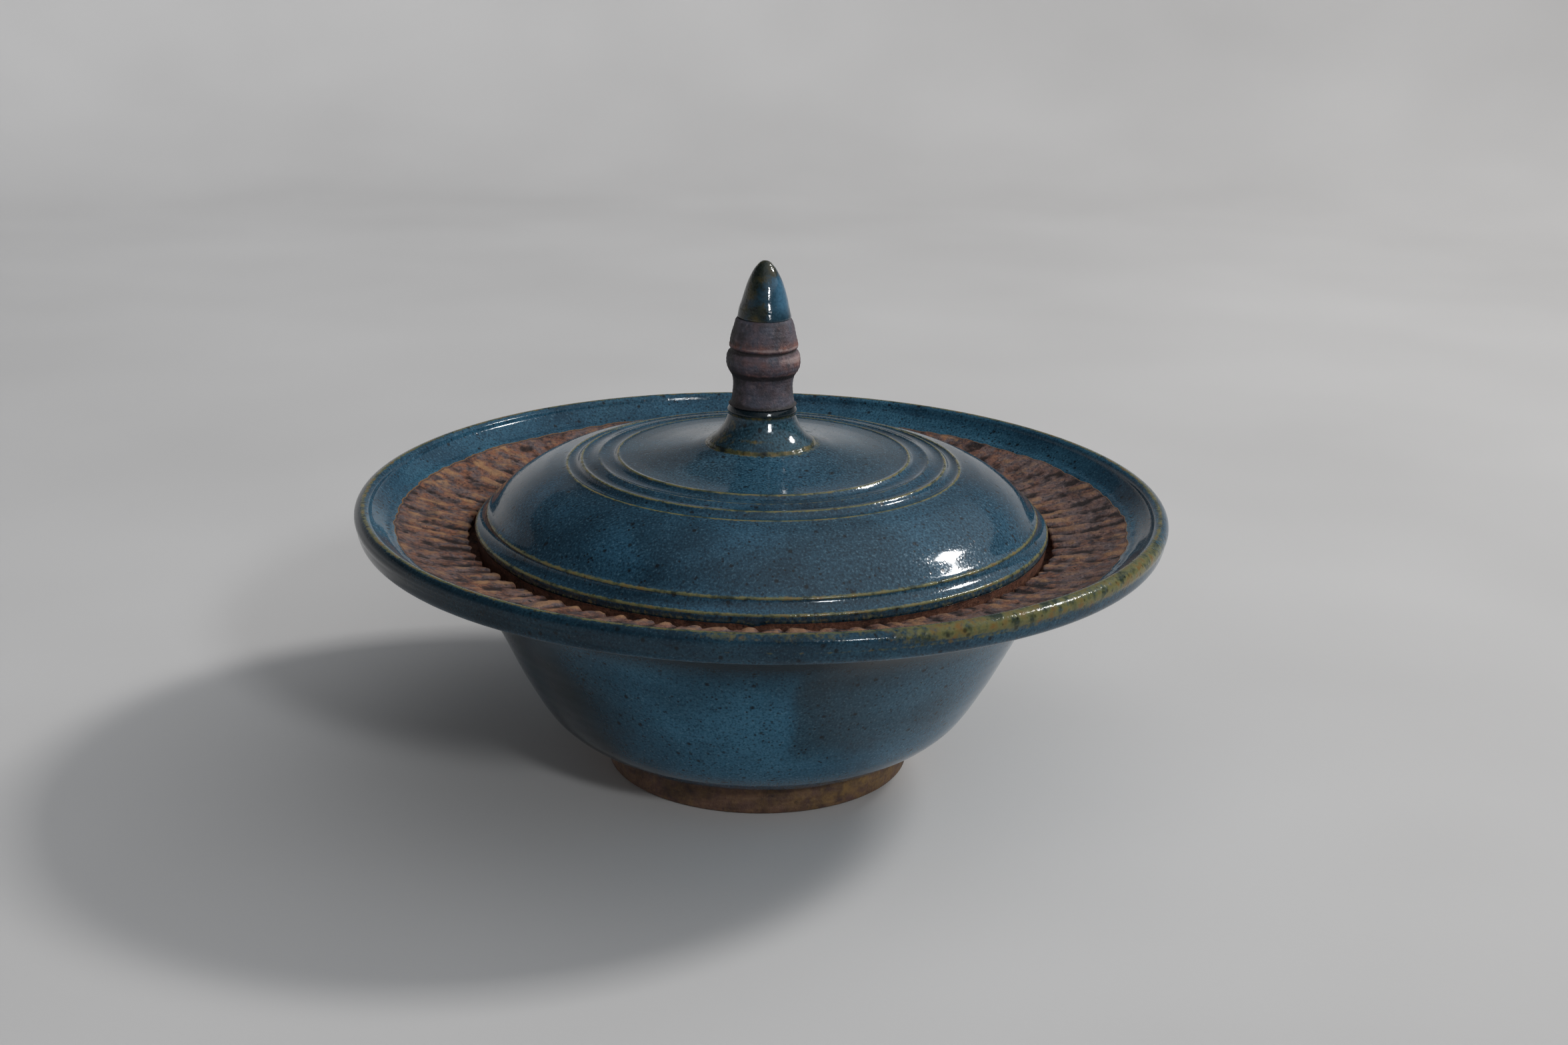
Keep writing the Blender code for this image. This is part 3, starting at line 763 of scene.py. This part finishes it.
def make_tip():
    """The pointed glazed tip, which leans back a little."""
    nose = [(0, TIP_HEIGHT), *arc((0, TIP_HEIGHT - TIP_ROUND), TIP_ROUND, 80, 35)]
    foot = STEM_HEIGHT - 0.1
    cone = [nose[-1], (3.9, 175.1), (5.9, 171.2), (7.4, 166.4), (8.5, 161.6), (9.0, 159.7), (9.15, 159.0)]
    cone = [*cone, (8.7, foot)]
    base = [cone[-1], (4, foot), (0, foot)]
    grid = Grid([(nose, 0.4), (cone, 0.4), (base, 1.5)], COLUMNS["tip"])
    r, z, u = grid.r, grid.z, grid.u
    grid.push((r > 1) * (0.10 * field(u, z, 5, 5, 71, 2)))
    grid.z = grid.z + (r > 7) * (z < 162) * 0.25 * ripple(u, 9, 72, 2)
    grid.r = grid.r + 0.35 * towards(u, 0.5, 0.2) * line_at(z, 161.5, 2.5) * (r > 5)

    # Olive on the shaded side, low at the front and towards the point, with a pale patch on the right
    # that is painted light.
    uneven = 0.32 * field(u, z, 8, 5, 73, 3)
    low_front = towards(u, 0.70, 0.14) * (1 - rise(z, 161.5, 166.5))
    shaded = np.maximum(1.1 * towards(u, 0.52, 0.25), low_front)
    high = 0.25 * rise(z, 167, 171) + 0.5 * rise(z, 171.5, 176.5)
    grid.mark("olive", np.clip(shaded + uneven + high, 0, 1))
    patch = towards(u, 0.91, 0.17) * span(z, 159, 165, 169, 176)
    grid.mark("bright", np.clip(0.9 * patch + 0.2 * towards(u, 0.93, 0.2) + 0.6 * uneven, 0, 0.85))
    # Darker on the left: painted shade.
    grid.mark("pooled_glaze_and_shade", 0.5 * towards(u, 0.60, 0.2))

    grid.shift = (0.0, 0.085 * np.maximum(z - 160, 0))
    look = stoneware("tip_glaze", TIP_BLUE, STEM_CLAY, TIP_THIN, 0.3)
    settle(grid, "tip_glazed", look, "lid", "finial_tip")


make_brim()
make_bowl()
make_foot()
make_lid()
make_collar()
make_stem()
make_tip()


# --- studio and camera --------------------------------------------------------------------------------------

# The floor: flat to the first radius, then bent up into a low wall. Metres.
FLOOR_RADIUS = 1.25
FLOOR_BEND = 0.5
FLOOR_TOP = 0.95
FLOOR_COLUMNS = 128
BEND_ROWS = 16

# The camera, in metres and degrees.
CAMERA_PLACE = (0.0081, -0.7262, 0.3196)
CAMERA_TILT = 17.724  # looking down
CAMERA_ROLL = 1.20894
SENSOR_WIDTH = 36.0  # millimetres
FOCAL_LENGTH = 49.87  # millimetres

# What the lights aim at, and how far off they are. Metres.
BOWL_MIDDLE = Vector((0, 0, 0.092))
LIGHT_DISTANCE = 2.6


def make_stage():
    """A pale round floor that curves up into a low wall all round."""
    outline = [(0.001, 0.0), (0.3, 0.0), (0.7, 0.0), (FLOOR_RADIUS, 0.0)]
    for i in range(1, BEND_ROWS + 1):
        a = math.pi / 2 * i / BEND_ROWS
        outline.append((FLOOR_RADIUS + FLOOR_BEND * math.sin(a), FLOOR_BEND * (1 - math.cos(a))))
    outline.append((FLOOR_RADIUS + FLOOR_BEND, FLOOR_TOP))
    angles = np.arange(FLOOR_COLUMNS) * 2 * math.pi / FLOOR_COLUMNS
    points = [(radius * math.cos(a), radius * math.sin(a), z) for radius, z in outline for a in angles]
    faces = []
    for row in range(len(outline) - 1):
        for k in range(FLOOR_COLUMNS):
            near, beside = row * FLOOR_COLUMNS + k, row * FLOOR_COLUMNS + (k + 1) % FLOOR_COLUMNS
            faces.append((near, near + FLOOR_COLUMNS, beside + FLOOR_COLUMNS, beside))
    faces.append(tuple(range(FLOOR_COLUMNS)))
    mesh = bpy.data.meshes.new("studio_sweep")
    mesh.from_pydata(points, [], faces)
    mesh.shade_smooth()
    sweep = bpy.data.objects.new("studio_sweep", mesh)
    bpy.context.scene.collection.objects.link(sweep)

    # Pale paper, greyer up the wall.
    p = Paint("studio_paper")
    paper = p.ramp(p.noise(260, 2), [(0.3, srgb(202, 200, 199)), (0.7, srgb(211, 209, 208))])
    parts = p.tree.nodes.new("ShaderNodeSeparateXYZ")
    p.put(parts.inputs[0], p.mm)
    metres_up = p.times(parts.outputs["Z"], MM)
    color = p.between(p.ramp(metres_up, [(0.30, 0.0), (0.75, 1.0)]), paper, srgb(124, 124, 126))
    mesh.materials.append(p.finish(color, 0.85, p.bump(p.noise(2.0, 2), 0.1, strength=0.3)))


def make_air():
    """A dim room, lighter towards the front and the right, where the light comes from."""
    world = bpy.data.worlds.new("studio_air")
    world.use_nodes = True
    tree = world.node_tree
    place = tree.nodes.new("ShaderNodeTexCoord")
    facing = tree.nodes.new("ShaderNodeVectorMath")
    facing.operation = "DOT_PRODUCT"
    facing.inputs[1].default_value = (0.78, -0.22, 0.58)  # towards the light
    tree.links.new(place.outputs["Generated"], facing.inputs[0])
    air = tree.nodes.new("ShaderNodeMapRange")
    air.interpolation_type = "SMOOTHSTEP"
    for label, value in (("From Min", 0.0), ("From Max", 1.0), ("To Min", 0.05), ("To Max", 0.75)):
        air.inputs[label].default_value = value
    tree.links.new(facing.outputs["Value"], air.inputs["Value"])
    back = tree.nodes["Background"]
    back.inputs["Color"].default_value = (0.92, 0.96, 1.0, 1.0)
    tree.links.new(air.outputs["Result"], back.inputs["Strength"])
    bpy.context.scene.world = world


def area_light(name, turn, elevation, size, power, color):
    """A soft box, seen from the bowl at this angle from the front towards the right, and this elevation."""
    light = bpy.data.lights.new(name, "AREA")
    light.shape = "RECTANGLE"
    light.size, light.size_y = size
    light.energy = power
    light.color = color
    lamp = bpy.data.objects.new(name, light)
    turn, elevation = math.radians(turn), math.radians(elevation)
    level = math.cos(elevation)
    way = Vector((math.sin(turn) * level, -math.cos(turn) * level, math.sin(elevation)))
    lamp.location = BOWL_MIDDLE + way * LIGHT_DISTANCE
    lamp.rotation_euler = (BOWL_MIDDLE - lamp.location).to_track_quat("-Z", "Y").to_euler()
    bpy.context.scene.collection.objects.link(lamp)


def make_camera():
    """The photograph's camera."""
    camera = bpy.data.cameras.new("camera")
    camera.sensor_width = SENSOR_WIDTH
    camera.lens = FOCAL_LENGTH
    camera.clip_start = 0.01
    eye = bpy.data.objects.new("camera", camera)
    tilt, roll = math.radians(CAMERA_TILT), math.radians(CAMERA_ROLL)
    ahead = Vector((0, math.cos(tilt), -math.sin(tilt)))
    level, rising = Vector((1, 0, 0)), Vector((0, math.sin(tilt), math.cos(tilt)))
    right = math.cos(roll) * level + math.sin(roll) * rising
    up = -math.sin(roll) * level + math.cos(roll) * rising
    turned = Matrix((right, up, -ahead)).transposed().to_4x4()
    eye.matrix_world = Matrix.Translation(CAMERA_PLACE) @ turned
    bpy.context.scene.collection.objects.link(eye)
    bpy.context.scene.camera = eye


make_stage()
make_air()
area_light("key_window", turn=107, elevation=41, size=(0.41, 0.33), power=32, color=(1.0, 0.99, 0.97))
area_light("front_fill", turn=28, elevation=26, size=(0.32, 0.60), power=34, color=(0.95, 0.98, 1.0))
make_camera()
bpy.context.scene.view_settings.view_transform = "Standard"
